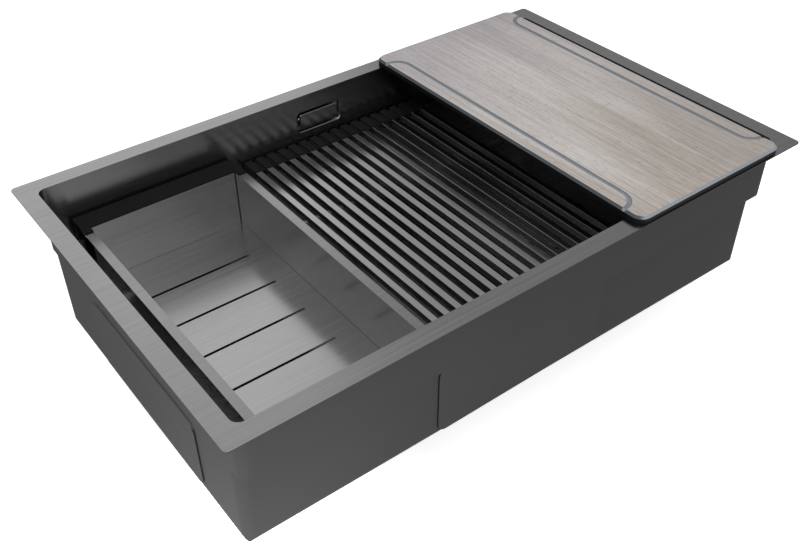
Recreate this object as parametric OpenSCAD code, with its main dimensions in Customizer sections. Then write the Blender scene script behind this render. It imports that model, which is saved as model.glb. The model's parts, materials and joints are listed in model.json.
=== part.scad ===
// Workstation kitchen sink: a stepped steel bowl whose ledges carry a slotted
// tray and a roll-up rack, with a board that slides along the rim.
// Millimetres. X runs left to right, Y front to back, Z up. The origin is the
// centre of the opening, on the plane of the rim's underside.

/* [Sink] */
// Length of the rim, left to right
sink_l = 780; // [770:1:800]
// Width of the rim, front to back
sink_w = 478; // [474:1:482]
// Width of the flat rim around the opening
rim_w = 21.5; // [20:0.5:23]
// Thickness of the steel sheet
sheet_t = 1.5; // [1:0.1:2]
// Radius of the rim's outer corners
rim_corner_r = 5; // [2:1:9]
// Radius of the bowl's upright corners
bowl_r = 10; // [8:1:12]
// Radius of the bends between walls and floor
bend_r = 8; // [6:1:8]
// Depth from the rim's top to the ledges that carry the accessories
ledge_depth = 74; // [70:1:80]
// Width of each ledge, front and back
ledge_w = 12; // [11:0.5:13]
// Depth from the rim's top to the floor at the left wall
floor_depth_left = 179.2; // [175:0.1:182]
// Depth from the rim's top to the floor at the right wall
floor_depth_right = 190; // [187:0.5:193]

/* [Drain] */
// Distance of the drain from the middle of the sink, towards the right
drain_x = 240; // [200:5:270]
// Radius of the hole cut in the floor for the drain
drain_hole_r = 45; // [44.5:0.5:46]
// Outside radius of the waste outlet's thread
outlet_r = 23.9; // [20:0.1:24]
// Outside radius of the spigots that take the overflow hose
spigot_r = 9; // [8:0.5:9]

/* [Overflow] */
// Width of the overflow's cover
cover_w = 57; // [54:1:60]
// Height of the overflow's cover
cover_h = 21.5; // [20:0.5:23]
// Distance of the overflow from the middle of the sink
overflow_x = 5.5; // [-20:0.5:20]
// Height of the overflow's middle, below the rim's underside
overflow_drop = 36; // [34:0.5:38]

/* [Board] */
// Width of the board, left to right
board_w = 243.5; // [235:0.5:250]
// Length of the board, front to back
board_l = 471.5; // [466:0.5:474]
// Thickness of the board
board_t = 8.5; // [8:0.5:12]
// Radius of the board's corners
board_r = 13.5; // [12:0.5:20]
// Distance of the board's middle from the middle of the sink
board_x = 232; // [225:0.5:236]
// Distance of the board's middle behind the middle of the sink
board_y = -1.25; // [-1.5:0.25:0]

/* [Tray] */
// Distance of the tray's middle from the middle of the sink
tray_x = -235; // [-238:1:-232]
// Inside width of the tray, left to right
tray_w = 188; // [180:1:190]
// Inside length of the tray, front to back
tray_l = 371; // [365:1:372]
// Height of the tray's rim, measured from the ledge
tray_rise = 24.2; // [22:0.1:30]
// Depth of the tray inside
tray_depth = 75.7; // [60:0.1:85]
// Number of slots in the tray's floor
tray_slots = 5; // [3:1:7]

/* [Rack] */
// Distance from bar to bar
bar_pitch = 16.5; // [16.5:0.1:17]
// Width and height of each square bar
bar_w = 8; // [7:0.5:8]
// Wall of the square tube
bar_wall = 1; // [0.8:0.1:1.2]
// Middle of the first bar, from the middle of the sink
first_bar_x = -107; // [-108:0.5:-104]

/* [Hidden] */
$fn = 64;
eps = 1;

// Sink: levels and half sizes
open_l = sink_l - 2 * rim_w;
open_w = sink_w - 2 * rim_w;
well_w = open_w - 2 * ledge_w;
ledge_z = sheet_t - ledge_depth;
floor_l_z = sheet_t - floor_depth_left;
floor_r_z = sheet_t - floor_depth_right;
floor_fall = floor_l_z - floor_r_z;
ledge_edge_r = 2.5;
steel = [0.36, 0.36, 0.37];

// Sound-deadening pads
pad_t = 1.6;
pad_r = 12;
pad_edge = 0.6;
front_pad_l = 242;
front_pad_h = 94;
front_pad_x = -16.5;
side_pad_l = 233;
side_pad_h = 89;
side_pad_y = -10;
pad_top_z = -78.5;
floor_pad_l = 420;
floor_pad_w = 300;
floor_pad_x = -110;

// Drain: levels measured down from the level seat pressed into the floor
seat_z = -190.5;
seat_r = 58.5;
seat_slope = 7.5;
ring_t = 1.2;
flange_r = 57;
flange_z = seat_z + ring_t;
flange_t = 1.2;
cup_r = 43;
cup_bottom_z = seat_z - 37;
gasket_t = 2.5;
body_top_z = seat_z - sheet_t - gasket_t;
body_r = 48;
body_wall = 3;
body_floor_z = body_top_z - 44;
outlet_l = 26;
hose_spigot_z = body_top_z - 24;
hose_spigot_l = 28;
spigot_free = 21;
spigot_neck = 0.7;

// Strainer
lip_r = 41;
basket_r = 36;
basket_t = 1;
basket_top_z = seat_z + 1.3;
basket_floor_z = cup_bottom_z + 4.5;
seal_t = 2.5;

// Overflow
cover_t = 2;
cover_r = 1.5;
cover_edge = 0.6;
cover_proud = 0.3;
pocket_w = cover_w + 9;
pocket_h = cover_h + 6.5;
pocket_r = 5.5;
pocket_d = 7;
pocket_lip = 0.8;
slot_l = 28;
slot_h = 9;
post_gap = 38;
post_r = 2.4;
screw_gap = 52;
screw_r = 2.2;
wall_out_y = open_w / 2 + sheet_t;
pocket_out_y = open_w / 2 + pocket_d + sheet_t;
of_gasket_t = 1.5;
of_gasket_w = 62;
of_gasket_h = 24;
housing_back_y = wall_out_y + 19.5;
housing_low = 26;
housing_wall = 2;
spigot_bore = 6.5;
spigot_y = wall_out_y + 1 + spigot_r;

// Board
board_z = sheet_t;
board_chamfer = 2.7;
groove_in = 23.3;
groove_end = 26;
groove_bend_r = 21;
groove_r = 2.8;
foot_r = 5;
foot_h = 5;
foot_x = 90;
foot_gap = 1.5;
foot_y = open_w / 2 - foot_r - foot_gap;

// Tray
tray_t = 1.2;
tray_top_z = ledge_z + tray_rise;
tray_floor_z = tray_top_z - tray_depth;
tray_bend_r = 0.6;
tray_flange = 10.6;
corner_gap = 2.2;
hang_flange = 17.5;
slot_pitch = 62.3;
slot_shift = -4.5;
tray_slot_l = 132.5;
tray_slot_w = 3.5;
end_reach = 27.5;
end_cover = 8;
end_top_t = 1.8;
end_wall = 2.2;
end_foot_w = 8.4;
end_lip_t = 1.8;
end_gap = 0.1;
tray_out_w = tray_w / 2 + tray_flange;
end_y0 = tray_l / 2;
end_y1 = end_y0 + end_reach;

// Rack
bars = 17;
rolled_bars = 10;
rest_gap = 0.1;
grip_w = 10.8;
grip_h = 11.2;
grip_r = 1.5;
grip_l = 25.5;
rack_end_y = 215;
grip_tip = 4;
web_t = 1.6;
web_short = 1.2;
fold_gap = 0.8;
bar_r = 0.5;
bar_z = ledge_z + rest_gap + grip_h / 2;
web_z = bar_z + 1.8;

function bar_x(i) = first_bar_x + bar_pitch * (i - 1);
out_l = open_l + 2 * sheet_t;
out_tilt = atan(floor_fall / out_l);

// ---------- shared shapes ----------

// A flat rectangle with round corners, centred
module rounded_rect(l, w, r) {
    square([l - 2 * r, w], center = true);
    square([l, w - 2 * r], center = true);
    for (x = [-1, 1], y = [-1, 1])
        translate([x * (l / 2 - r), y * (w / 2 - r)])
            circle(r);
}

// A slot with round ends, centred, along X
module slot(l, w) {
    square([l - w, w], center = true);
    for (x = [-1, 1])
        translate([x * (l - w) / 2, 0])
            circle(w / 2);
}

// Lays a drawing made in X and Z out along Y, centred
module along_y(l) {
    rotate([90, 0, 0])
        linear_extrude(l, center = true)
            children();
}

// Lays a drawing made in Y and Z out along X, centred
module along_x(l) {
    rotate([90, 0, 90])
        linear_extrude(l, center = true)
            children();
}

// A plate with round corners and a chamfered upper edge, its foot at z = 0
module chamfered_plate(l, w, h, r, c) {
    along_y(w - 2 * r)
        chamfer_outline(l, h, c);
    along_x(l - 2 * r)
        chamfer_outline(w, h, c);
    for (x = [-1, 1], y = [-1, 1])
        translate([x * (l / 2 - r), y * (w / 2 - r), 0])
            rotate_extrude()
                polygon([[0, 0], [r, 0], [r, h - c], [r - c, h], [0, h]]);
}

module chamfer_outline(l, h, c) {
    polygon([[-l / 2, 0], [l / 2, 0], [l / 2, h - c], [l / 2 - c, h],
             [c - l / 2, h], [-l / 2, h - c]]);
}

// A well with round corners and bends, and a floor that falls from left to
// right: l by w wide, open at z_top, its floor at z_left and z_right
module well(l, w, r, bend, z_top, z_left, z_right) {
    tilt = atan((z_left - z_right) / l);
    intersection() {
        translate([0, 0, z_right - r])
            linear_extrude(z_top - z_right + r)
                rounded_rect(l, w, r);
        along_y(w + 2 * r)
            well_profile(l, bend, z_top + r, z_left, z_right);
        translate([0, 0, (z_left + z_right) / 2])
            rotate([0, tilt, 0])
                along_x(l + 4 * r)
                    channel(w / 2, bend, 0, z_top - z_right + 2 * r);
    }
}

// The well seen from the front: a sloping floor with a round bend at each end
module well_profile(l, r, z_top, z_left, z_right) {
    tilt = atan((z_left - z_right) / l);
    xc = l / 2 - r;
    zl = z_left - r * tan(tilt) + r / cos(tilt);
    zr = z_left - (l - r) * tan(tilt) + r / cos(tilt);
    polygon([[-l / 2, z_top], [-l / 2, zl],
             [-xc - r * sin(tilt), zl - r * cos(tilt)],
             [xc - r * sin(tilt), zr - r * cos(tilt)],
             [l / 2, zr], [l / 2, z_top]]);
    translate([-xc, zl])
        circle(r);
    translate([xc, zr])
        circle(r);
}

// ---------- bowl ----------

module sink_bowl() {
    color(steel)
        difference() {
            union() {
                linear_extrude(sheet_t)
                    rounded_rect(sink_l, sink_w, rim_corner_r);
                translate([0, 0, ledge_z - sheet_t])
                    linear_extrude(sheet_t - ledge_z)
                        rounded_rect(open_l + 2 * sheet_t, open_w + 2 * sheet_t, bowl_r + sheet_t);
                well(open_l + 2 * sheet_t, well_w + 2 * sheet_t, bowl_r + sheet_t, bend_r + sheet_t,
                     ledge_z - sheet_t / 2, floor_l_z - sheet_t, floor_r_z - sheet_t);
                translate([drain_x, 0, seat_z - sheet_t])
                    cylinder(h = 6, r1 = seat_r + sheet_t, r2 = seat_r + sheet_t + seat_slope);
                overflow_block(open_w / 2, pocket_out_y, pocket_w + 2 * sheet_t, pocket_h + 2 * sheet_t,
                               pocket_r + sheet_t);
            }
            translate([0, 0, ledge_z])
                linear_extrude(eps - ledge_z + sheet_t)
                    rounded_rect(open_l, open_w, bowl_r);
            well(open_l, well_w, bowl_r, bend_r, ledge_z + eps, floor_l_z, floor_r_z);
            ledge_rounding();
            translate([drain_x, 0, seat_z])
                cylinder(h = 6, r1 = seat_r, r2 = seat_r + seat_slope);
            translate([drain_x, 0, seat_z - 2 * sheet_t])
                cylinder(h = 4 * sheet_t, r = drain_hole_r);
            overflow_cut();
        }
}

// Takes the sharp edge off both ledges, where the sheet bends down
module ledge_rounding() {
    r = ledge_edge_r;
    for (side = [-1, 1])
        translate([0, side * well_w / 2, ledge_z])
            along_x(open_l - 2 * bowl_r)
                difference() {
                    translate([-r, -r])
                        square(2 * r);
                    translate([side * r, -r])
                        circle(r);
                    translate([-side * r - r, -r])
                        square(2 * r);
                }
}

// The pocket pressed back into the wall for the overflow, with the slot and
// the holes in its floor
module overflow_cut() {
    lip = pocket_lip;
    overflow_block(open_w / 2 - eps, open_w / 2 + pocket_d, pocket_w, pocket_h, pocket_r);
    translate([overflow_x, open_w / 2 - 0.4, -overflow_drop])
        rotate([-90, 0, 0])
            chamfered_plate(pocket_w + 2 * lip, pocket_h + 2 * lip, lip + 0.4, pocket_r + lip, lip);
    translate([overflow_x, open_w / 2 + pocket_d, -overflow_drop])
        rotate([90, 0, 0])
            linear_extrude(4 * sheet_t, center = true)
                floor_holes(slot_l, slot_h, 0.3);
}

// A block with round corners around the overflow's middle, from y0 to y1
module overflow_block(y0, y1, w, h, r) {
    translate([overflow_x, (y0 + y1) / 2, -overflow_drop])
        rotate([90, 0, 0])
            linear_extrude(y1 - y0, center = true)
                rounded_rect(w, h, r);
}

// The slot, the two screw holes and the two post holes of the overflow
module floor_holes(l, h, room) {
    slot(l, h);
    for (x = [-1, 1]) {
        translate([x * screw_gap / 2, 0])
            circle(screw_r + room);
        translate([x * post_gap / 2, 0])
            circle(post_r + room);
    }
}

// ---------- sound-deadening pads ----------

module pad(l, h) {
    chamfered_plate(l, h, pad_t, pad_r, pad_edge);
}

module pad_front() {
    color([0.30, 0.30, 0.31])
        translate([front_pad_x, -well_w / 2 - sheet_t, pad_top_z - front_pad_h / 2 - 4])
            rotate([90, 0, 0])
                pad(front_pad_l, front_pad_h);
}

module pad_back() {
    color([0.30, 0.30, 0.31])
        translate([front_pad_x, well_w / 2 + sheet_t, pad_top_z - front_pad_h / 2 - 4])
            rotate([-90, 0, 0])
                pad(front_pad_l, front_pad_h);
}

module pad_left() {
    color([0.30, 0.30, 0.31])
        translate([-open_l / 2 - sheet_t, side_pad_y, pad_top_z - side_pad_h / 2])
            rotate([0, -90, 0])
                pad(side_pad_h, side_pad_l);
}

module pad_right() {
    color([0.30, 0.30, 0.31])
        translate([open_l / 2 + sheet_t, side_pad_y, pad_top_z - side_pad_h / 2])
            rotate([0, 90, 0])
                pad(side_pad_h, side_pad_l);
}

module pad_floor() {
    color([0.30, 0.30, 0.31])
        translate([floor_pad_x, 0,
                   floor_l_z - sheet_t - (floor_pad_x + out_l / 2) * floor_fall / out_l - 0.01])
            rotate([180, out_tilt, 0])
                pad(floor_pad_l, floor_pad_w);
}

// ---------- drain ----------

module drain_flange() {
    top = flange_z + flange_t;
    color([0.62, 0.62, 0.63])
        translate([drain_x, 0, 0])
            difference() {
                rotate_extrude()
                    polygon([[0, cup_bottom_z], [cup_r - 6, cup_bottom_z],
                             [cup_r - 2, cup_bottom_z + 3], [cup_r, flange_z - 3],
                             [cup_r + 1.5, flange_z], [flange_r, flange_z],
                             [flange_r, flange_z + 0.6], [flange_r - 1, top],
                             [cup_r + 1.2, top], [cup_r - 1.2, flange_z - 2.4],
                             [cup_r - 3.2, cup_bottom_z + 3.6],
                             [cup_r - 6.6, cup_bottom_z + flange_t], [0, cup_bottom_z + flange_t]]);
                translate([0, 0, cup_bottom_z - eps])
                    cylinder(h = 4, r = 3.2);
                for (i = [1 : 8])
                    rotate([0, 0, i * 45])
                        translate([13, 0, cup_bottom_z - eps])
                            cylinder(h = 4, r = 3.8);
            }
}

module drain_seat_ring() {
    color([0.12, 0.12, 0.12])
        translate([drain_x, 0, seat_z])
            difference() {
                cylinder(h = ring_t, r = flange_r - 1);
                translate([0, 0, -eps])
                    cylinder(h = ring_t + 2 * eps, r = drain_hole_r + 1);
            }
}

module drain_screw() {
    color([0.62, 0.62, 0.63])
        translate([drain_x, 0, cup_bottom_z]) {
            difference() {
                translate([0, 0, flange_t])
                    cylinder(h = 1.8, r = 5.5);
                translate([-4, -0.6, flange_t + 0.9])
                    cube([8, 1.2, 2]);
            }
            translate([0, 0, -14])
                cylinder(h = 14 + flange_t, r = 3);
        }
}

module drain_gasket() {
    color([0.12, 0.12, 0.12])
        translate([drain_x, 0, body_top_z])
            difference() {
                cylinder(h = gasket_t, r = flange_r);
                translate([0, 0, -eps])
                    cylinder(h = gasket_t + 2 * eps, r = drain_hole_r + 0.5);
            }
}

module drain_body() {
    inner_r = cup_r + 0.8;
    color([0.16, 0.16, 0.17])
        translate([drain_x, 0, 0])
            difference() {
                union() {
                    translate([0, 0, body_top_z - 4])
                        cylinder(h = 4, r = flange_r);
                    rotate_extrude()
                        polygon([[0, body_floor_z - 6], [outlet_r, body_floor_z - 6],
                                 [body_r - 6, body_floor_z + 6], [body_r, body_floor_z + 14],
                                 [body_r, body_top_z - 2], [0, body_top_z - 2]]);
                    translate([0, 0, body_floor_z - outlet_l])
                        cylinder(h = outlet_l, r = outlet_r);
                    translate([0, body_r - 4, hose_spigot_z])
                        rotate([-90, 0, 0])
                            hose_spigot(hose_spigot_l + 4);
                    for (i = [1 : 11])
                        rotate([0, 0, 90 + i * 30])
                            translate([body_r - 1, -1.2, body_floor_z + 14])
                                cube([6, 2.4, body_top_z - body_floor_z - 16]);
                }
                rotate_extrude()
                    polygon([[0, body_floor_z], [outlet_r - 4, body_floor_z],
                             [body_r - 8, body_floor_z + 10], [inner_r, body_floor_z + 16],
                             [inner_r, body_top_z + eps], [0, body_top_z + eps]]);
                translate([0, 0, body_floor_z - outlet_l - eps])
                    cylinder(h = outlet_l + 4, r = outlet_r - 4);
                translate([0, body_r - 10, hose_spigot_z])
                    rotate([-90, 0, 0])
                        cylinder(h = hose_spigot_l + 20, r = spigot_bore);
            }
    color([0.16, 0.16, 0.17])
        translate([drain_x, 0, 0])
            drain_spider();
}

// Cross bars inside the body that hold the fixing screw's socket
module drain_spider() {
    reach = body_r - 12;
    top_z = cup_bottom_z - 0.2;
    difference() {
        union() {
            translate([0, 0, top_z - 14])
                cylinder(h = 14, r = 7);
            for (a = [0, 60, 120])
                rotate([0, 0, a + 15])
                    translate([-reach, -1.5, body_floor_z + 3.5])
                        cube([2 * reach, 3, 5]);
        }
        translate([0, 0, top_z - 15])
            cylinder(h = 16, r = 3.05);
    }
}

// A tube end that the overflow hose pushes onto, along +Z from z = 0; behind
// its free part the neck is a little thinner
module hose_spigot(l) {
    cylinder(h = l - 1.5, r = spigot_r - spigot_neck);
    translate([0, 0, l - 1.5 - spigot_free])
        cylinder(h = spigot_free, r = spigot_r);
    translate([0, 0, l - 1.5])
        cylinder(h = 1.5, r1 = spigot_r, r2 = spigot_r - 1);
}

// ---------- strainer ----------

module strainer_basket() {
    color([0.62, 0.62, 0.63])
        translate([drain_x, 0, 0])
            difference() {
                rotate_extrude()
                    polygon([[0, basket_floor_z], [basket_r - 4, basket_floor_z],
                             [basket_r, basket_floor_z + 4], [basket_r + 1, basket_top_z - 1],
                             [lip_r, basket_top_z - 1], [lip_r, basket_top_z],
                             [basket_r, basket_top_z], [basket_r - basket_t, basket_floor_z + 4.4],
                             [basket_r - 4.4, basket_floor_z + basket_t], [0, basket_floor_z + basket_t]]);
                translate([0, 0, basket_floor_z - eps])
                    cylinder(h = 4, r = 3);
                for (ring = [[8, 14], [14, 22], [18, 29]])
                    for (i = [1 : ring[0]])
                        rotate([0, 0, i * 360 / ring[0]])
                            translate([ring[1], 0, basket_floor_z - eps])
                                cylinder(h = 4, r = 2);
                for (level = [10, 17], i = [1 : 20])
                    rotate([0, 0, i * 18 + level * 9 / 7])
                        translate([basket_r - 6, 0, basket_floor_z + level])
                            rotate([0, 90, 0])
                                cylinder(h = 12, r = 1.8);
            }
}

module strainer_seal() {
    z0 = cup_bottom_z + flange_t + 0.2;
    color([0.12, 0.12, 0.12])
        translate([drain_x, 0, z0])
            rotate_extrude()
                polygon([[18.5, 0], [24, 0], [24, basket_floor_z - z0], [18.5, basket_floor_z - z0]]);
}

module strainer_knob() {
    z0 = basket_floor_z + basket_t;
    color([0.62, 0.62, 0.63])
        translate([drain_x, 0, z0])
            rotate_extrude()
                polygon([[0, -basket_t - 0.6], [2.9, -basket_t - 0.6], [2.9, 0], [5, 0], [5, 2],
                         [3.2, 3], [3.2, 25], [4.4, 27], [7, 28.6], [7.4, 30.2], [6.4, 32], [0, 32.8]]);
}

// ---------- overflow ----------

// A plate that stands level with the wall inside the pocket, on two posts
module overflow_cover() {
    color([0.50, 0.50, 0.51])
        translate([overflow_x, open_w / 2 + cover_t - cover_proud, -overflow_drop]) {
            rotate([90, 0, 0])
                chamfered_plate(cover_w, cover_h, cover_t, cover_r, cover_edge);
            for (x = [-1, 1])
                translate([x * post_gap / 2, -cover_t / 2, 0])
                    rotate([-90, 0, 0])
                        cylinder(h = pocket_d + 7, r = post_r);
        }
}

module overflow_gasket() {
    color([0.12, 0.12, 0.12])
        difference() {
            overflow_block(pocket_out_y, pocket_out_y + of_gasket_t, of_gasket_w, of_gasket_h, 4);
            translate([overflow_x, pocket_out_y, -overflow_drop])
                rotate([90, 0, 0])
                    linear_extrude(4 * of_gasket_t, center = true)
                        floor_holes(slot_l + 2, slot_h + 2, 0.2);
        }
}

// The box behind the wall that leads the water round the pocket's lower edge
// and down into the hose
module overflow_housing() {
    y0 = pocket_out_y + of_gasket_t;
    y1 = housing_back_y;
    front_y = wall_out_y + 1.2;
    top_z = of_gasket_h / 2 - overflow_drop;
    low_z = -overflow_drop - housing_low;
    step_z = -overflow_drop - pocket_h / 2 - sheet_t - 1.2;
    wall = housing_wall;
    color([0.16, 0.16, 0.17])
        difference() {
            union() {
                translate([overflow_x, (y0 + y1) / 2, (top_z + low_z) / 2])
                    rotate([90, 0, 0])
                        linear_extrude(y1 - y0, center = true)
                            rounded_rect(of_gasket_w, top_z - low_z, 4);
                translate([overflow_x - 17, front_y, low_z])
                    cube([34, y1 - front_y, step_z - low_z]);
                translate([overflow_x, spigot_y, low_z + wall])
                    rotate([180, 0, 0])
                        hose_spigot(38);
            }
            translate([overflow_x - slot_l / 2 - 1, y0 - eps, low_z + wall])
                cube([slot_l + 2, y1 - y0 + eps - wall, top_z - low_z - 2 * wall]);
            translate([overflow_x - slot_l / 2 - 1, front_y + wall, low_z + wall])
                cube([slot_l + 2, y1 - front_y - 2 * wall, step_z - low_z - 2 * wall]);
            translate([overflow_x, spigot_y, low_z - 40])
                cylinder(h = 40 + wall + eps, r = spigot_bore);
            translate([overflow_x, y0, -overflow_drop])
                rotate([-90, 0, 0])
                    for (x = [-1, 1]) {
                        translate([x * screw_gap / 2, 0, -eps])
                            cylinder(h = 9, r = screw_r + 0.02);
                        translate([x * post_gap / 2, 0, -eps])
                            cylinder(h = 8, r = post_r + 0.02);
                    }
        }
}

module overflow_screws() {
    color([0.62, 0.62, 0.63])
        for (x = [-1, 1])
            translate([overflow_x + x * screw_gap / 2, open_w / 2 + pocket_d, -overflow_drop])
                rotate([-90, 0, 0]) {
                    cylinder(h = 10, r = screw_r);
                    difference() {
                        translate([0, 0, -2])
                            cylinder(h = 2, r1 = 2.4, r2 = 3.8);
                        translate([-3, -0.5, -3])
                            cube([6, 1, 1.8]);
                    }
                }
}

// ---------- cutting board ----------

module cutting_board() {
    color([0.66, 0.62, 0.58])
        translate([board_x, board_y, board_z])
            difference() {
                chamfered_plate(board_w, board_l, board_t, board_r, board_chamfer);
                for (side = [-1, 1], end = [-1, 1])
                    translate([side * board_w / 2, end * board_l / 2, board_t])
                        groove_end(side, end);
                for (side = [-1, 1])
                    translate([side * (board_w / 2 - groove_in), 0, board_t])
                        rotate([90, 0, 0])
                            cylinder(h = board_l - 2 * (groove_end + groove_bend_r), r = groove_r,
                                     center = true);
            }
}

// Where a juice groove bends round and runs out over the board's long edge
module groove_end(side, end) {
    straight = groove_in - groove_bend_r;
    turn = end > 0 ? (side > 0 ? 90 : 0) : (side > 0 ? 180 : 270);
    translate([-side * straight, -end * (groove_end + groove_bend_r), 0])
        rotate([0, 0, turn])
            rotate_extrude(angle = 90)
                translate([groove_bend_r, 0])
                    circle(groove_r);
    translate([-side * straight, -end * groove_end, 0])
        rotate([0, side * 90, 0])
            cylinder(h = straight + eps, r = groove_r);
}

module board_feet() {
    color([0.12, 0.12, 0.12])
        for (x = [-1, 1], y = [-1, 1])
            translate([board_x + x * foot_x, y * foot_y, board_z - foot_h])
                rotate_extrude()
                    polygon([[0, 0], [foot_r - 1, 0], [foot_r, 1], [foot_r, foot_h], [0, foot_h]]);
}

// ---------- tray ----------

// The bent sheet seen from its end: floor, two walls and two outward flanges
module bent_sheet(inner, flange) {
    t = tray_t;
    r = tray_bend_r;
    difference() {
        union() {
            channel(inner / 2 + t, r + t, tray_floor_z - t, tray_top_z);
            translate([-inner / 2 - flange, tray_top_z - t])
                square([inner + 2 * flange, t]);
        }
        channel(inner / 2, r, tray_floor_z, tray_top_z + eps);
    }
}

// A channel's outline with round lower corners
module channel(half, r, z0, z1) {
    translate([-half, z0 + r])
        square([2 * half, z1 - z0 - r]);
    translate([r - half, z0])
        square([2 * half - 2 * r, 2 * r]);
    for (x = [-1, 1])
        translate([x * (half - r), z0 + r])
            circle(r);
}

module tray() {
    side_run = tray_l - 2 * corner_gap;
    end_run = tray_w - 2 * (tray_bend_r + 0.5);
    color(steel)
        translate([tray_x, 0, 0])
            difference() {
                union() {
                    along_y(side_run)
                        bent_sheet(tray_w, tray_flange);
                    along_x(end_run)
                        bent_sheet(tray_l, hang_flange);
                    for (side = [-1, 1])
                        translate([-tray_w / 2 - tray_t, side * (tray_l + tray_t) / 2 - tray_t / 2,
                                   tray_floor_z + tray_bend_r + 2])
                            cube([tray_w + 2 * tray_t, tray_t, tray_depth - tray_bend_r - 2]);
                }
                for (i = [0 : tray_slots - 1])
                    translate([0, slot_shift + slot_pitch * (i - (tray_slots - 1) / 2),
                               tray_floor_z - 2 * tray_t])
                        linear_extrude(4 * tray_t)
                            slot(tray_slot_l, tray_slot_w);
            }
}

// The moulded end that carries one end of the tray on the ledge; side is -1
// at the front and 1 at the back
module tray_end(side) {
    top_z = tray_top_z + end_top_t;
    foot_z = ledge_z + rest_gap;
    w = 2 * tray_out_w;
    y_foot = end_y1 - end_foot_w;
    cell = (w - end_wall) / 6;
    color([0.13, 0.13, 0.135])
        translate([tray_x, 0, 0])
            mirror([0, side < 0 ? 1 : 0, 0])
                difference() {
                    union() {
                        translate([-w / 2, end_y0, tray_top_z])
                            cube([w, end_reach, end_top_t]);
                        for (x = [-1, 1])
                            translate([x > 0 ? tray_w / 2 : -w / 2, end_y0 - end_cover, tray_top_z])
                                cube([tray_flange, end_cover + eps, end_top_t]);
                        translate([-w / 2, y_foot, foot_z])
                            cube([w, end_foot_w, tray_top_z - foot_z + eps / 2]);
                        translate([10 - w / 2, y_foot - 12, tray_top_z - tray_t - end_gap - end_lip_t])
                            cube([w - 20, 12 + eps, end_lip_t]);
                    }
                    for (i = [0 : 5])
                        translate([end_wall - w / 2 + i * cell, y_foot + end_wall, foot_z - eps])
                            cube([cell - end_wall, end_foot_w - 2 * end_wall, tray_top_z - foot_z - 1]);
                }
}

module tray_end_front() {
    tray_end(-1);
}

module tray_end_back() {
    tray_end(1);
}

// ---------- roll-up rack ----------

module bar_section() {
    difference() {
        rounded_rect(bar_w, bar_w, bar_r);
        square(bar_w - 2 * bar_wall, center = true);
    }
}

module rack_bar(i) {
    color([0.50, 0.50, 0.51])
        translate([bar_x(i), 0, bar_z])
            along_y(2 * (rack_end_y - grip_tip))
                bar_section();
}

// One silicone end grip with the bar's pocket; side is -1 at the front and
// 1 at the back
module grip(i, side) {
    translate([bar_x(i), side * (rack_end_y - grip_l / 2), bar_z])
        difference() {
            along_y(grip_l)
                rounded_rect(grip_w, grip_h, grip_r);
            translate([0, -side * (grip_tip + eps) / 2, 0])
                along_y(grip_l - grip_tip + eps)
                    rounded_rect(bar_w, bar_w, bar_r);
        }
}

// The thin web from a grip to its fold line, or across the whole gap
module web(i, side, towards, reach) {
    x0 = bar_x(i) + towards * (grip_w / 2 - 0.5);
    y0 = rack_end_y - grip_l;
    y1 = rack_end_y - web_short;
    translate([towards > 0 ? x0 : x0 - reach, side > 0 ? y0 : -y1, web_z - web_t / 2])
        cube([reach, y1 - y0, web_t]);
}

// The pair of grips at the two ends of a bar that rolls up
module rack_grip(i) {
    half = (bar_pitch - grip_w - fold_gap) / 2 + 0.5;
    color([0.11, 0.11, 0.115])
        for (side = [-1, 1])
            union() {
                grip(i, side);
                if (i > 1)
                    web(i, side, -1, half);
                web(i, side, 1, half);
            }
}

// The strip that holds the bars lying flat at the rack's right-hand end
module rack_strip(side) {
    half = (bar_pitch - grip_w - fold_gap) / 2 + 0.5;
    color([0.11, 0.11, 0.115])
        union() {
            web(rolled_bars + 1, side, -1, half);
            for (i = [rolled_bars + 1 : bars])
                grip(i, side);
            for (i = [rolled_bars + 1 : bars - 1])
                web(i, side, 1, bar_pitch - grip_w + 1);
        }
}

module rack_strip_front() {
    rack_strip(-1);
}

module rack_strip_back() {
    rack_strip(1);
}

// ---------- drawing ----------

sink_bowl();
pad_front();
pad_back();
pad_left();
pad_right();
pad_floor();
drain_flange();
drain_seat_ring();
drain_screw();
drain_gasket();
drain_body();
strainer_basket();
strainer_seal();
strainer_knob();
overflow_cover();
overflow_gasket();
overflow_housing();
overflow_screws();
cutting_board();
board_feet();
tray();
tray_end_front();
tray_end_back();
rack_bar(1);  // rack_bar_01
rack_bar(2);  // rack_bar_02
rack_bar(3);  // rack_bar_03
rack_bar(4);  // rack_bar_04
rack_bar(5);  // rack_bar_05
rack_bar(6);  // rack_bar_06
rack_bar(7);  // rack_bar_07
rack_bar(8);  // rack_bar_08
rack_bar(9);  // rack_bar_09
rack_bar(10);  // rack_bar_10
rack_bar(11);  // rack_bar_11
rack_bar(12);  // rack_bar_12
rack_bar(13);  // rack_bar_13
rack_bar(14);  // rack_bar_14
rack_bar(15);  // rack_bar_15
rack_bar(16);  // rack_bar_16
rack_bar(17);  // rack_bar_17
rack_grip(1);  // rack_grip_01
rack_grip(2);  // rack_grip_02
rack_grip(3);  // rack_grip_03
rack_grip(4);  // rack_grip_04
rack_grip(5);  // rack_grip_05
rack_grip(6);  // rack_grip_06
rack_grip(7);  // rack_grip_07
rack_grip(8);  // rack_grip_08
rack_grip(9);  // rack_grip_09
rack_grip(10);  // rack_grip_10
rack_strip_front();
rack_strip_back();
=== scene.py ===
"""Looks for a workstation kitchen sink: gunmetal bowl, slotted tray, roll-up rack and board.

Metres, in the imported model's frame: X runs left to right, Y front to back, Z up, and z = 0 is
the underside of the rim. Every solid comes from that model. This script gives each one its
material, and adds the floor, the studio, the lamps and the camera.
"""

import json

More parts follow.
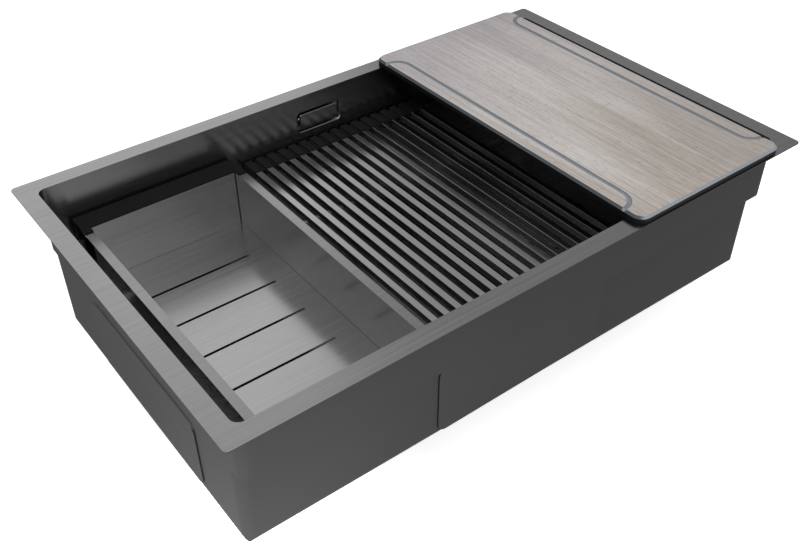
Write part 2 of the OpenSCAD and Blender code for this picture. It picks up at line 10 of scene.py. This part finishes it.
import bpy
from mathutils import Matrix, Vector

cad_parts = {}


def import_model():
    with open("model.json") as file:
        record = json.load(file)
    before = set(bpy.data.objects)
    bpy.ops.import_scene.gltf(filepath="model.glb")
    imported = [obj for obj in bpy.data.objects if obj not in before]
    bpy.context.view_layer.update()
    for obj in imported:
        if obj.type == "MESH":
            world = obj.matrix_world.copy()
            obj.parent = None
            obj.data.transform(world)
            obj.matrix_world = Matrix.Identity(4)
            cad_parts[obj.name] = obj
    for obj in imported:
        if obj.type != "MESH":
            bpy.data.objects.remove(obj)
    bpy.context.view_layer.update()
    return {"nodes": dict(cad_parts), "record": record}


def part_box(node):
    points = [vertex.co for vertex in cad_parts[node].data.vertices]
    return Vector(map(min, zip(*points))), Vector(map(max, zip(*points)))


MM = 0.001
X, Y, Z = 0, 1, 2

# Camera, from the photograph's perspective
CAMERA_AT = (-590.0 * MM, -734.0 * MM, 610.9 * MM)
CAMERA_LOOK = (0.4729, 0.6105, -0.6354)
SENSOR_WIDTH = 36.0  # of the camera, in its own millimetres, like the focal length
FOCAL_LENGTH = 43.18
CLIP_END = 50.0

# Tones, linear
GUNMETAL = (0.355, 0.355, 0.360)
TRAY_METAL = (0.335, 0.335, 0.338)
BAR_METAL = (0.460, 0.460, 0.464)
BRIGHT_STEEL = (0.60, 0.60, 0.605)
OUTER_COAT = (0.0402, 0.0402, 0.0412)
SILICONE = (0.015, 0.015, 0.0155)
END_PLASTIC = (0.012, 0.012, 0.0125)
BLACK_PLASTIC = (0.016, 0.016, 0.017)
WOOD_PALE = (0.685, 0.645, 0.620)
WOOD_LILAC = (0.500, 0.470, 0.488)
WOOD_WARM = (0.475, 0.422, 0.378)
WOOD_PORE = (0.24, 0.20, 0.185)
CORE_PAINTED_SHEEN = (0.30, 0.325, 0.36)  # painted sky reflection on the black core, where the cutter's faces look up
CORE_SIDE = (0.006, 0.006, 0.0065)
FLOOR_PAINT = (0.90, 0.90, 0.90)
FLOOR_PAINT_LIGHT = (0.93, 0.93, 0.93)
WHITE = (1.0, 1.0, 1.0)

NOISE_SPAN = (0.3, 0.7)  # most of a noise lies between these values

# Brushing: streaks per metre along and across the grain
WIDE_STREAKS = (3.0, 300.0)
FINE_STREAKS = (12.0, 1700.0)
FINE_SHARE = 0.5
CLOUDS = 7.0
CLOUD_SHARE = 0.2
TONE_SPAN = (0.38, 0.62)
STREAK_HEIGHT = 0.01 * MM
STREAK_STRENGTH = 0.4
OFF_GRAIN = 0.06  # keeps the tangent defined on faces that look along the grain

# Tray: painted light and shade: its floor is painted lighter than its walls, and the bends
# round the floor are painted darker
TRAY_BEND_TOP = 1.7 * MM  # height of the floor sheet and its bend
BEND_TO_FLOOR = (0.90, 0.99)  # how far the bend and the floor look up
TRAY_BEND_PAINTED_SHADE = 0.40
TRAY_FLOOR_PAINTED_LIGHT = 1.45

# Sprayed coat on the bowl's outside and on the pads
MATT = 0.05  # specular level of the coat, the rubber and the moulded ends
COAT_GRIT = 900.0
COAT_GRIT_HEIGHT = 0.08 * MM
COAT_ROUGH = (0.62, 0.74)
COAT_DRIFT = 5.0
BOWL_SHADES = (0.94, 1.06)
PAD_SHADES = (0.99, 1.11)
COATED_FROM = 0.3  # a face of the bowl that looks outwards or down by more than this is coated

# Pads: the axis each faces, and the painted shading of its side edges and of its top edges,
# where 1 is the coat's own tone: painted shade at the sides, painted light on most tops
PADS = {
    "front": (Y, 0.10, 6.00),
    "back": (Y, 0.40, 1.35),
    "left": (X, 0.20, 4.50),
    "right": (X, 0.40, 1.35),
    "floor": (Z, 0.60, 0.60),
}
PAD_FACE_FROM = 0.8  # how far a pad's face looks along its axis, at the least
PAD_TOP_EDGE = (0.3, 0.9)  # how far an edge looks up, from side edge to top edge

# Board: its print in cells per metre along and across the grain
BANDS = (1.5, 21.0)
FIGURE = (2.4, 60.0)
GRAIN = (11.0, 760.0)
LINES = (5.0, 380.0)
FIBRE = (30.0, 1500.0)
PORES = (90.0, 900.0)
BAND_SWING = 1.4  # how far the bands move the print's colours, where 1 is the board's length
PRINT_DEPTH = 0.05 * MM  # faces within this of the top carry the print
PRINT_HEIGHT = 0.05 * MM
GRAIN_SPAN = (0.35, 0.65)
PRINT_ROUGH = (0.46, 0.58)
CORE_ROUGH = 0.60
BOARD_SHINE = 0.14
PAINTED_SHEEN_FROM = 0.12  # a face below the top that looks up by more than this carries the core's painted sheen
LEFT_EDGE = 9.0 * MM  # width of the strip that holds the left chamfer
LEFT_CHAMFER_FACES = (-0.25, -0.60)  # how far the strip looks to the right, from light to dark
# painted shade on the left chamfer's sheen
LEFT_CHAMFER_PAINTED_SHADE = 0.30

# Moulded plastic, silicone and rubber
MOULD_GRIT = 1400.0
MOULD_GRIT_HEIGHT = 0.05 * MM
MOULD_DRIFT = 18.0
MOULD_SHADES = (0.8, 1.25)
MOULD_ROUGH_SWING = 0.06
PLASTIC_SHINE = 0.4

# Studio, as radiance
SCREEN = 1.26
RIGHT_SIDE = 0.50
FRONT_SIDE = 1.06
DARK_SIDE = 0.22

# Its edges: bearings in degrees, 0 behind the sink and 90 to its right, and heights as the
# sine of the elevation. Each pair is where a change starts and ends.
SCREEN_LEFT = (-25.0, -17.0)
SCREEN_RIGHT = (30.5, 37.5)
RIGHT_DIMS = (57.0, 67.0)
RIGHT_DIMMED = 0.6
FRONT_EDGE = (154.0, 162.0)
SCREEN_LEAN = 24.0  # how far the screen's left edge moves outwards over LEAN_HEIGHT
LEAN_HEIGHT = (0.60, 0.69)
LOW_FADE = (0.51, 0.60)
LOW_FADED = 0.87
HIGH_FADE = (0.69, 0.85)
HIGH_FADED = 0.62

# Floor, with a pool of light off the sink's near corner
FLOOR_HALF = 12.0
FLOOR_GAP = 2.0 * MM
FLOOR_CLOUDS = 1.5
FLOOR_ROUGH = 0.9
POOL_AT = (-0.55, -0.38)
POOL_REACH = (0.05, 0.50)
POOL_GLOW = 4.9
FLOOR_GLOW = 0.72

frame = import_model()


# ---------- node helpers ----------

class Nodes:
    """A node tree under construction."""

    def __init__(self, owner):
        owner.use_nodes = True
        self.tree = owner.node_tree
        self.tree.nodes.clear()
        self.coords = self.new("ShaderNodeTexCoord")

    def new(self, kind):
        return self.tree.nodes.new(kind)

    def link(self, a, b):
        self.tree.links.new(a, b)

    def put(self, socket, value):
        """Sets a socket to a number or a colour, or links another node's output to it."""
        if isinstance(value, bpy.types.NodeSocket):
            self.link(value, socket)
        elif isinstance(value, (tuple, list)) and len(value) == 3 and socket.type == "RGBA":
            socket.default_value = (*value, 1.0)
        else:
            socket.default_value = value

    def fill(self, node, **values):
        """Puts values into a node's inputs by name, with _ for a space."""
        for key, value in values.items():
            self.put(node.inputs[key.replace("_", " ")], value)

    def math(self, op, *values):
        n = self.new("ShaderNodeMath")
        n.operation = op
        for socket, value in zip(n.inputs, values):
            self.put(socket, value)
        return n.outputs[0]

    def axes(self, source="Object"):
        """The X, Y and Z of a texture coordinate: Object, Normal or Generated."""
        n = self.new("ShaderNodeSeparateXYZ")
        self.link(self.coords.outputs[source], n.inputs[0])
        return n.outputs

    def noise(self, scale, detail=3.0, rough=0.55, offset=(0, 0, 0), distortion=0.0):
        """Noise with a scale for each axis, in cells per metre."""
        place = self.new("ShaderNodeMapping")
        self.fill(place, Scale=scale, Location=offset, Vector=self.coords.outputs["Object"])
        n = self.new("ShaderNodeTexNoise")
        self.fill(n, Scale=1.0, Detail=detail, Roughness=rough, Distortion=distortion)
        self.link(place.outputs[0], n.inputs["Vector"])
        return n.outputs["Fac"]

    def ramp(self, value, lo, hi, out_lo=0.0, out_hi=1.0, smooth=True):
        """Goes from out_lo at lo to out_hi at hi, and stays there."""
        n = self.new("ShaderNodeMapRange")
        n.interpolation_type = "SMOOTHSTEP" if smooth else "LINEAR"
        self.fill(n, Value=value, From_Min=lo, From_Max=hi, To_Min=out_lo, To_Max=out_hi)
        return n.outputs[0]

    def mix(self, fac, a, b):
        """From colour a at 0 to colour b at 1."""
        n = self.new("ShaderNodeMix")
        n.data_type = "RGBA"
        for socket, value in zip((n.inputs[0], n.inputs[6], n.inputs[7]), (fac, a, b)):
            self.put(socket, value)
        return n.outputs[2]

    def mix_number(self, fac, a, b):
        """From number a at 0 to number b at 1."""
        n = self.new("ShaderNodeMix")
        for socket, value in zip((n.inputs[0], n.inputs[2], n.inputs[3]), (fac, a, b)):
            self.put(socket, value)
        return n.outputs[0]

    def scale_colour(self, colour, k):
        n = self.new("ShaderNodeVectorMath")
        n.operation = "SCALE"
        self.put(n.inputs[0], colour)
        self.fill(n, Scale=k)
        return n.outputs[0]

    def bumped(self, height, distance, strength=0.5):
        """A normal that follows a height."""
        n = self.new("ShaderNodeBump")
        self.fill(n, Height=height, Distance=distance, Strength=strength)
        return n.outputs["Normal"]


class Shader(Nodes):
    """A node material under construction, with its Principled shader."""

    def __init__(self, name):
        self.mat = bpy.data.materials.new(name)
        super().__init__(self.mat)
        self.out = self.new("ShaderNodeOutputMaterial")
        self.bsdf = self.new("ShaderNodeBsdfPrincipled")
        self.link(self.bsdf.outputs["BSDF"], self.out.inputs["Surface"])

    def set(self, **values):
        self.fill(self.bsdf, **values)


def even(scale):
    return (scale, scale, scale)


def stretched(along_across, grain_axis):
    """A noise scale that is low along the grain axis and high across it."""
    along, across = along_across
    return tuple(along if axis == grain_axis else across for axis in (X, Y, Z))


def scaled(colour, k):
    return tuple(c * k for c in colour)


# ---------- steel ----------

def across_grain(s, grain_axis):
    """A tangent at right angles to the brushing, so reflections smear across it."""
    grain = [OFF_GRAIN, OFF_GRAIN, 0.0]
    grain[grain_axis] = 1.0
    turn = s.new("ShaderNodeVectorTransform")
    turn.vector_type, turn.convert_from, turn.convert_to = "VECTOR", "OBJECT", "WORLD"
    turn.inputs[0].default_value = grain
    cross = s.new("ShaderNodeVectorMath")
    cross.operation = "CROSS_PRODUCT"
    s.link(s.new("ShaderNodeNewGeometry").outputs["Normal"], cross.inputs[0])
    s.link(turn.outputs[0], cross.inputs[1])
    return cross.outputs["Vector"]


def brushed_steel(name, colour, grain_axis, rough=(0.18, 0.26), contrast=0.09, anisotropy=0.6):
    """Sheet or tube brushed along one axis: long streaks in tone, gloss and height."""
    s = Shader(name)
    wide = s.noise(stretched(WIDE_STREAKS, grain_axis), rough=0.6)
    fine = s.noise(stretched(FINE_STREAKS, grain_axis), detail=2.0, rough=0.6)
    cloudy = s.noise(even(CLOUDS), detail=2.0)
    streak = s.mix_number(FINE_SHARE, wide, fine)
    shade = s.ramp(s.mix_number(CLOUD_SHARE, streak, cloudy), *TONE_SPAN, smooth=False)
    s.set(
        Base_Color=s.mix(shade, scaled(colour, 1.0 - contrast), scaled(colour, 1.0 + contrast)),
        Metallic=1.0,
        Roughness=s.ramp(streak, *NOISE_SPAN, *rough, smooth=False),
        Anisotropic=anisotropy,
        Tangent=across_grain(s, grain_axis),
        Normal=s.bumped(streak, STREAK_HEIGHT, STREAK_STRENGTH),
    )
    return s


def tray_steel():
    """Brushed sheet with painted light on its floor and painted shade on the bends round it."""
    s = brushed_steel("tray_steel", TRAY_METAL, X)
    brushed_tone = s.bsdf.inputs["Base Color"].links[0].from_socket
    low_down = s.math("LESS_THAN", s.axes()[Z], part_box("tray")[0][Z] + TRAY_BEND_TOP)
    looks_up = s.axes("Normal")[Z]
    # painted light on the floor and painted shade on its bends, by how far each looks up
    painted_floor_light = s.ramp(looks_up, *BEND_TO_FLOOR, TRAY_BEND_PAINTED_SHADE, TRAY_FLOOR_PAINTED_LIGHT)
    s.set(Base_Color=s.scale_colour(brushed_tone, s.mix_number(low_down, 1.0, painted_floor_light)))
    return s.mat


# ---------- sprayed coat ----------

def drifting_coat(s, shades):
    """The coat's tone, which drifts slowly between a darker and a lighter shade."""
    dark, light = (scaled(OUTER_COAT, shade) for shade in shades)
    return s.mix(s.noise(even(COAT_DRIFT), detail=2.0), dark, light)


def spray(s, shader, tone):
    """Gives a shader the matt sprayed finish, with fine grit in its gloss and height."""
    grit = s.noise(even(COAT_GRIT), detail=2.0)
    s.fill(
        shader,
        Base_Color=tone,
        Roughness=s.ramp(grit, *NOISE_SPAN, *COAT_ROUGH),
        Specular_IOR_Level=MATT,
        Normal=s.bumped(grit, COAT_GRIT_HEIGHT),
    )


def bowl_steel():
    """Brushed inside and on the rim; sprayed on the outside and underneath."""
    s = brushed_steel("bowl_steel", GUNMETAL, X)
    coat = s.new("ShaderNodeBsdfPrincipled")
    spray(s, coat, drifting_coat(s, BOWL_SHADES))
    place, facing = s.axes(), s.axes("Normal")
    # how far the surface looks away from the sink's middle, or down
    away_x = s.math("MULTIPLY", facing[X], s.math("SIGN", place[X]))
    away_y = s.math("MULTIPLY", facing[Y], s.math("SIGN", place[Y]))
    down = s.math("MULTIPLY", facing[Z], -1.0)
    away = s.math("MAXIMUM", s.math("MAXIMUM", away_x, away_y), down)
    finish = s.new("ShaderNodeMixShader")
    s.put(finish.inputs[0], s.math("GREATER_THAN", away, COATED_FROM))
    s.link(s.bsdf.outputs[0], finish.inputs[1])
    s.link(coat.outputs[0], finish.inputs[2])
    s.link(finish.outputs[0], s.out.inputs["Surface"])
    return s.mat


def pad_coat(side, axis, side_painted_shading, top_painted_shading):
    """The sprayed coat on a pad that faces along one axis.

    Its edges carry painted shading instead of the coat's own tone: one factor at the sides, and
    one where they look up.
    """
    s = Shader(side + "_coat")
    facing = s.axes("Normal")
    looks_up = s.ramp(facing[Z], *PAD_TOP_EDGE)
    # painted shading on the pad's edges: painted shade at the sides, and a factor of its own
    # where they look up
    painted_edge_shading = s.mix(looks_up, scaled(OUTER_COAT, side_painted_shading), scaled(OUTER_COAT, top_painted_shading))
    face = s.math("GREATER_THAN", s.math("ABSOLUTE", facing[axis]), PAD_FACE_FROM)
    spray(s, s.bsdf, s.mix(face, painted_edge_shading, drifting_coat(s, PAD_SHADES)))
    return s.mat


# ---------- board, plastic and silicone ----------

def wood_print(s, grain, low, high):
    """A beige print with its grain along Y, inside the box from low to high."""
    place = s.axes()
    bands = s.noise(stretched(BANDS, Y), distortion=0.5)
    figure = s.noise(
        stretched(FIGURE, Y), detail=4.0, rough=0.6, offset=(1.3, 0.2, 0.0), distortion=0.4)
    lines = s.noise(stretched(LINES, Y), rough=0.65, offset=(9.1, 4.4, 0.0), distortion=0.15)
    fibre = s.noise(stretched(FIBRE, Y), detail=2.0, rough=0.6, offset=(5.3, 0.7, 0.0))
    pores = s.noise(stretched(PORES, Y), detail=2.0, rough=0.7, offset=(3.1, 1.7, 0.0))
    # from a warm brown at the front to a cool lilac grey at the back, in uneven bands
    length = s.ramp(place[Y], low[Y], high[Y], smooth=False)
    swing = s.math("MULTIPLY", s.math("SUBTRACT", bands, 0.5), BAND_SWING)
    length = s.math("ADD", length, swing)
    wood = s.mix(s.ramp(length, 0.10, 0.55), WOOD_WARM, WOOD_PALE)
    wood = s.mix(s.ramp(length, 0.50, 1.00), wood, WOOD_LILAC)
    # each mark follows a value: where it starts and is full, and the most of its tone it adds
    middle = (low[X] + high[X]) / 2
    marks = (
        (figure, 0.50, 0.68, 0.35, scaled(WOOD_WARM, 0.86)),
        (grain, 0.44, 0.60, 0.32, scaled(WOOD_PALE, 1.30)),
        (lines, 0.50, 0.60, 0.24, scaled(WOOD_WARM, 0.72)),
        (fibre, 0.50, 0.64, 0.22, WOOD_PORE),
        (pores, 0.57, 0.69, 0.60, WOOD_PORE),
        (place[X], middle, high[X], 0.22, scaled(WOOD_LILAC, 0.70)),
    )
    for value, starts, full, most, tone in marks:
        wood = s.mix(s.ramp(value, starts, full, 0.0, most), wood, tone)
    return wood


def board_laminate():
    """Print on the flat top, a painted grey-blue sheen where the cut faces look up, near-black
    side and underside.
    """
    low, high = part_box("cutting_board")
    s = Shader("board_laminate")
    place, facing = s.axes(), s.axes("Normal")
    grain = s.noise(stretched(GRAIN, Y), rough=0.6, distortion=0.1)
    on_top = s.math("GREATER_THAN", place[Z], high[Z] - PRINT_DEPTH)
    painted_sheen_on_cut = s.math("GREATER_THAN", facing[Z], PAINTED_SHEEN_FROM)
    # painted shade: the chamfer of the long edge at the left is painted darker than the one in
    # front, as less light falls on it
    left_edge = s.math("LESS_THAN", place[X], low[X] + LEFT_EDGE)
    dark = s.math("MULTIPLY", left_edge, s.ramp(facing[X], *LEFT_CHAMFER_FACES))
    painted_chamfer_sheen = s.mix(dark, CORE_PAINTED_SHEEN, scaled(CORE_PAINTED_SHEEN, LEFT_CHAMFER_PAINTED_SHADE))
    # painted sheen: the black core is grey-blue where its cut faces look up
    core = s.mix(painted_sheen_on_cut, CORE_SIDE, painted_chamfer_sheen)
    print_rough = s.ramp(grain, *GRAIN_SPAN, *PRINT_ROUGH)
    s.set(
        Base_Color=s.mix(on_top, core, wood_print(s, grain, low, high)),
        Roughness=s.mix_number(on_top, CORE_ROUGH, print_rough),
        Specular_IOR_Level=BOARD_SHINE,
        Normal=s.bumped(s.math("MULTIPLY", grain, on_top), PRINT_HEIGHT),
    )
    return s.mat


def moulded(name, colour, rough, shine=MATT):
    """Moulded plastic, silicone or rubber: faint texture in gloss and height."""
    s = Shader(name)
    fine = s.noise(even(MOULD_GRIT))
    drift = s.noise(even(MOULD_DRIFT), detail=2.0)
    dark, light = (scaled(colour, shade) for shade in MOULD_SHADES)
    glossier, rougher = rough - MOULD_ROUGH_SWING, rough + MOULD_ROUGH_SWING
    s.set(
        Base_Color=s.mix(drift, dark, light),
        Roughness=s.ramp(fine, *NOISE_SPAN, glossier, rougher),
        Specular_IOR_Level=shine,
        Normal=s.bumped(fine, MOULD_GRIT_HEIGHT),
    )
    return s.mat


def dress():
    """Gives every CAD node its material, by its slot in the record; each pad has its own."""
    rack = brushed_steel("rack_steel", BAR_METAL, Y, rough=(0.20, 0.25), contrast=0.03)
    bright = brushed_steel("bright_steel", BRIGHT_STEEL, X, rough=(0.20, 0.30), anisotropy=0.0)
    cover = brushed_steel("cover_steel", GUNMETAL, X, rough=(0.16, 0.26), anisotropy=0.0)
    by_slot = {
        "bowl_steel": bowl_steel(),
        "tray_steel": tray_steel(),
        "rack_steel": rack.mat,
        "bright_steel": bright.mat,
        "cover_steel": cover.mat,
        "board_laminate": board_laminate(),
        "rack_silicone": moulded("rack_silicone", SILICONE, 0.55),
        "seal_rubber": moulded("seal_rubber", SILICONE, 0.62),
        "tray_end_plastic": moulded("tray_end_plastic", END_PLASTIC, 0.50),
        "black_plastic": moulded("black_plastic", BLACK_PLASTIC, 0.40, PLASTIC_SHINE),
    }
    pads = {"pad_" + side: pad_coat(side, *values) for side, values in PADS.items()}
    for part in frame["record"]["subparts"]:
        node = frame["nodes"][part["node"]]
        mat = pads.get(part["node"]) or by_slot[part["material_slot"]]
        if not node.material_slots:
            node.data.materials.append(mat)
        for slot in node.material_slots:
            slot.material = mat


# ---------- stage ----------

def place_in_scene(name, data):
    obj = bpy.data.objects.new(name, data)
    bpy.context.collection.objects.link(obj)
    return obj


def looking(way):
    """The rotation of a camera or lamp that looks along a direction, with its top up."""
    return Vector(way).to_track_quat("-Z", "Y").to_euler()


def camera():
    """The photograph's camera."""
    cam = bpy.data.cameras.new("camera")
    cam.sensor_fit = "HORIZONTAL"
    cam.sensor_width = SENSOR_WIDTH
    cam.lens = FOCAL_LENGTH
    cam.clip_end = CLIP_END
    obj = place_in_scene("camera", cam)
    obj.location = CAMERA_AT
    obj.rotation_euler = looking(CAMERA_LOOK)
    bpy.context.scene.camera = obj


def floor():
    """A large pale floor just below the waste outlet, with a pool of light on it."""
    half, z = FLOOR_HALF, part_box("drain_body")[0][Z] - FLOOR_GAP
    mesh = bpy.data.meshes.new("floor")
    corners = [(-half, -half, z), (half, -half, z), (half, half, z), (-half, half, z)]
    mesh.from_pydata(corners, [], [(0, 1, 2, 3)])
    s = Shader("floor_paint")
    cloudy = s.noise(even(FLOOR_CLOUDS), detail=2.0)
    place = s.axes()
    from_x, from_y = (s.math("SUBTRACT", place[axis], POOL_AT[axis]) for axis in (X, Y))
    square_y = s.math("MULTIPLY", from_y, from_y)
    reach = s.math("SQRT", s.math("MULTIPLY_ADD", from_x, from_x, square_y))
    s.set(
        Base_Color=s.mix(cloudy, FLOOR_PAINT, FLOOR_PAINT_LIGHT),
        Roughness=FLOOR_ROUGH,
        Emission_Color=WHITE,
        Emission_Strength=s.ramp(reach, *POOL_REACH, POOL_GLOW, FLOOR_GLOW),
    )
    mesh.materials.append(s.mat)
    place_in_scene("floor", mesh)


def world():
    """The studio that the steel mirrors.

    A bright screen stands behind the sink and a slightly dimmer one behind the camera. The
    right side is less than half as bright as the screen, and the left side is dark. The
    screen's left edge leans outwards towards its top.
    """
    bpy.context.scene.world = bpy.data.worlds.new("studio")
    s = Nodes(bpy.context.scene.world)
    way = s.axes("Generated")
    height = way[Z]
    bearing = s.math("DEGREES", s.math("ARCTAN2", way[X], way[Y]))
    leaning = s.math("MULTIPLY_ADD", s.ramp(height, *LEAN_HEIGHT), SCREEN_LEAN, bearing)
    past_left = s.ramp(leaning, *SCREEN_LEFT)
    past_right = s.ramp(bearing, *SCREEN_RIGHT)
    screen = s.math("MULTIPLY", past_left, s.math("SUBTRACT", 1.0, past_right))
    right = s.math("MULTIPLY", past_right, s.ramp(bearing, *RIGHT_DIMS, 1.0, RIGHT_DIMMED))
    front = s.ramp(s.math("ABSOLUTE", bearing), *FRONT_EDGE)
    low_fade = s.ramp(height, *LOW_FADE, SCREEN, SCREEN * LOW_FADED)
    fade = s.math("MULTIPLY", low_fade, s.ramp(height, *HIGH_FADE, 1.0, HIGH_FADED))
    light = s.math("MULTIPLY", screen, s.math("SUBTRACT", fade, DARK_SIDE))
    light = s.math("MULTIPLY_ADD", right, RIGHT_SIDE - DARK_SIDE, light)
    light = s.math("MULTIPLY_ADD", front, FRONT_SIDE - DARK_SIDE, light)
    glow = s.new("ShaderNodeBackground")
    s.fill(glow, Strength=s.math("ADD", light, DARK_SIDE))
    s.link(glow.outputs[0], s.new("ShaderNodeOutputWorld").inputs["Surface"])


def lamp(name, at, aim, size, power):
    """A rectangular soft light at one point, aimed at another."""
    light = bpy.data.lights.new(name, "AREA")
    light.shape = "RECTANGLE"
    light.size, light.size_y = size
    light.energy = power
    obj = place_in_scene(name, light)
    obj.location = at
    obj.rotation_euler = looking(Vector(aim) - Vector(at))


dress()
camera()
floor()
world()
lamp("overhead", at=(-0.8, -0.7, 2.3), aim=(0.0, 0.0, 0.0), size=(1.8, 1.4), power=25.0)
lamp("front", at=(-1.1, -1.6, 0.7), aim=(0.0, 0.0, -0.1), size=(2.0, 1.4), power=7.0)
bpy.context.scene.view_settings.view_transform = "Standard"
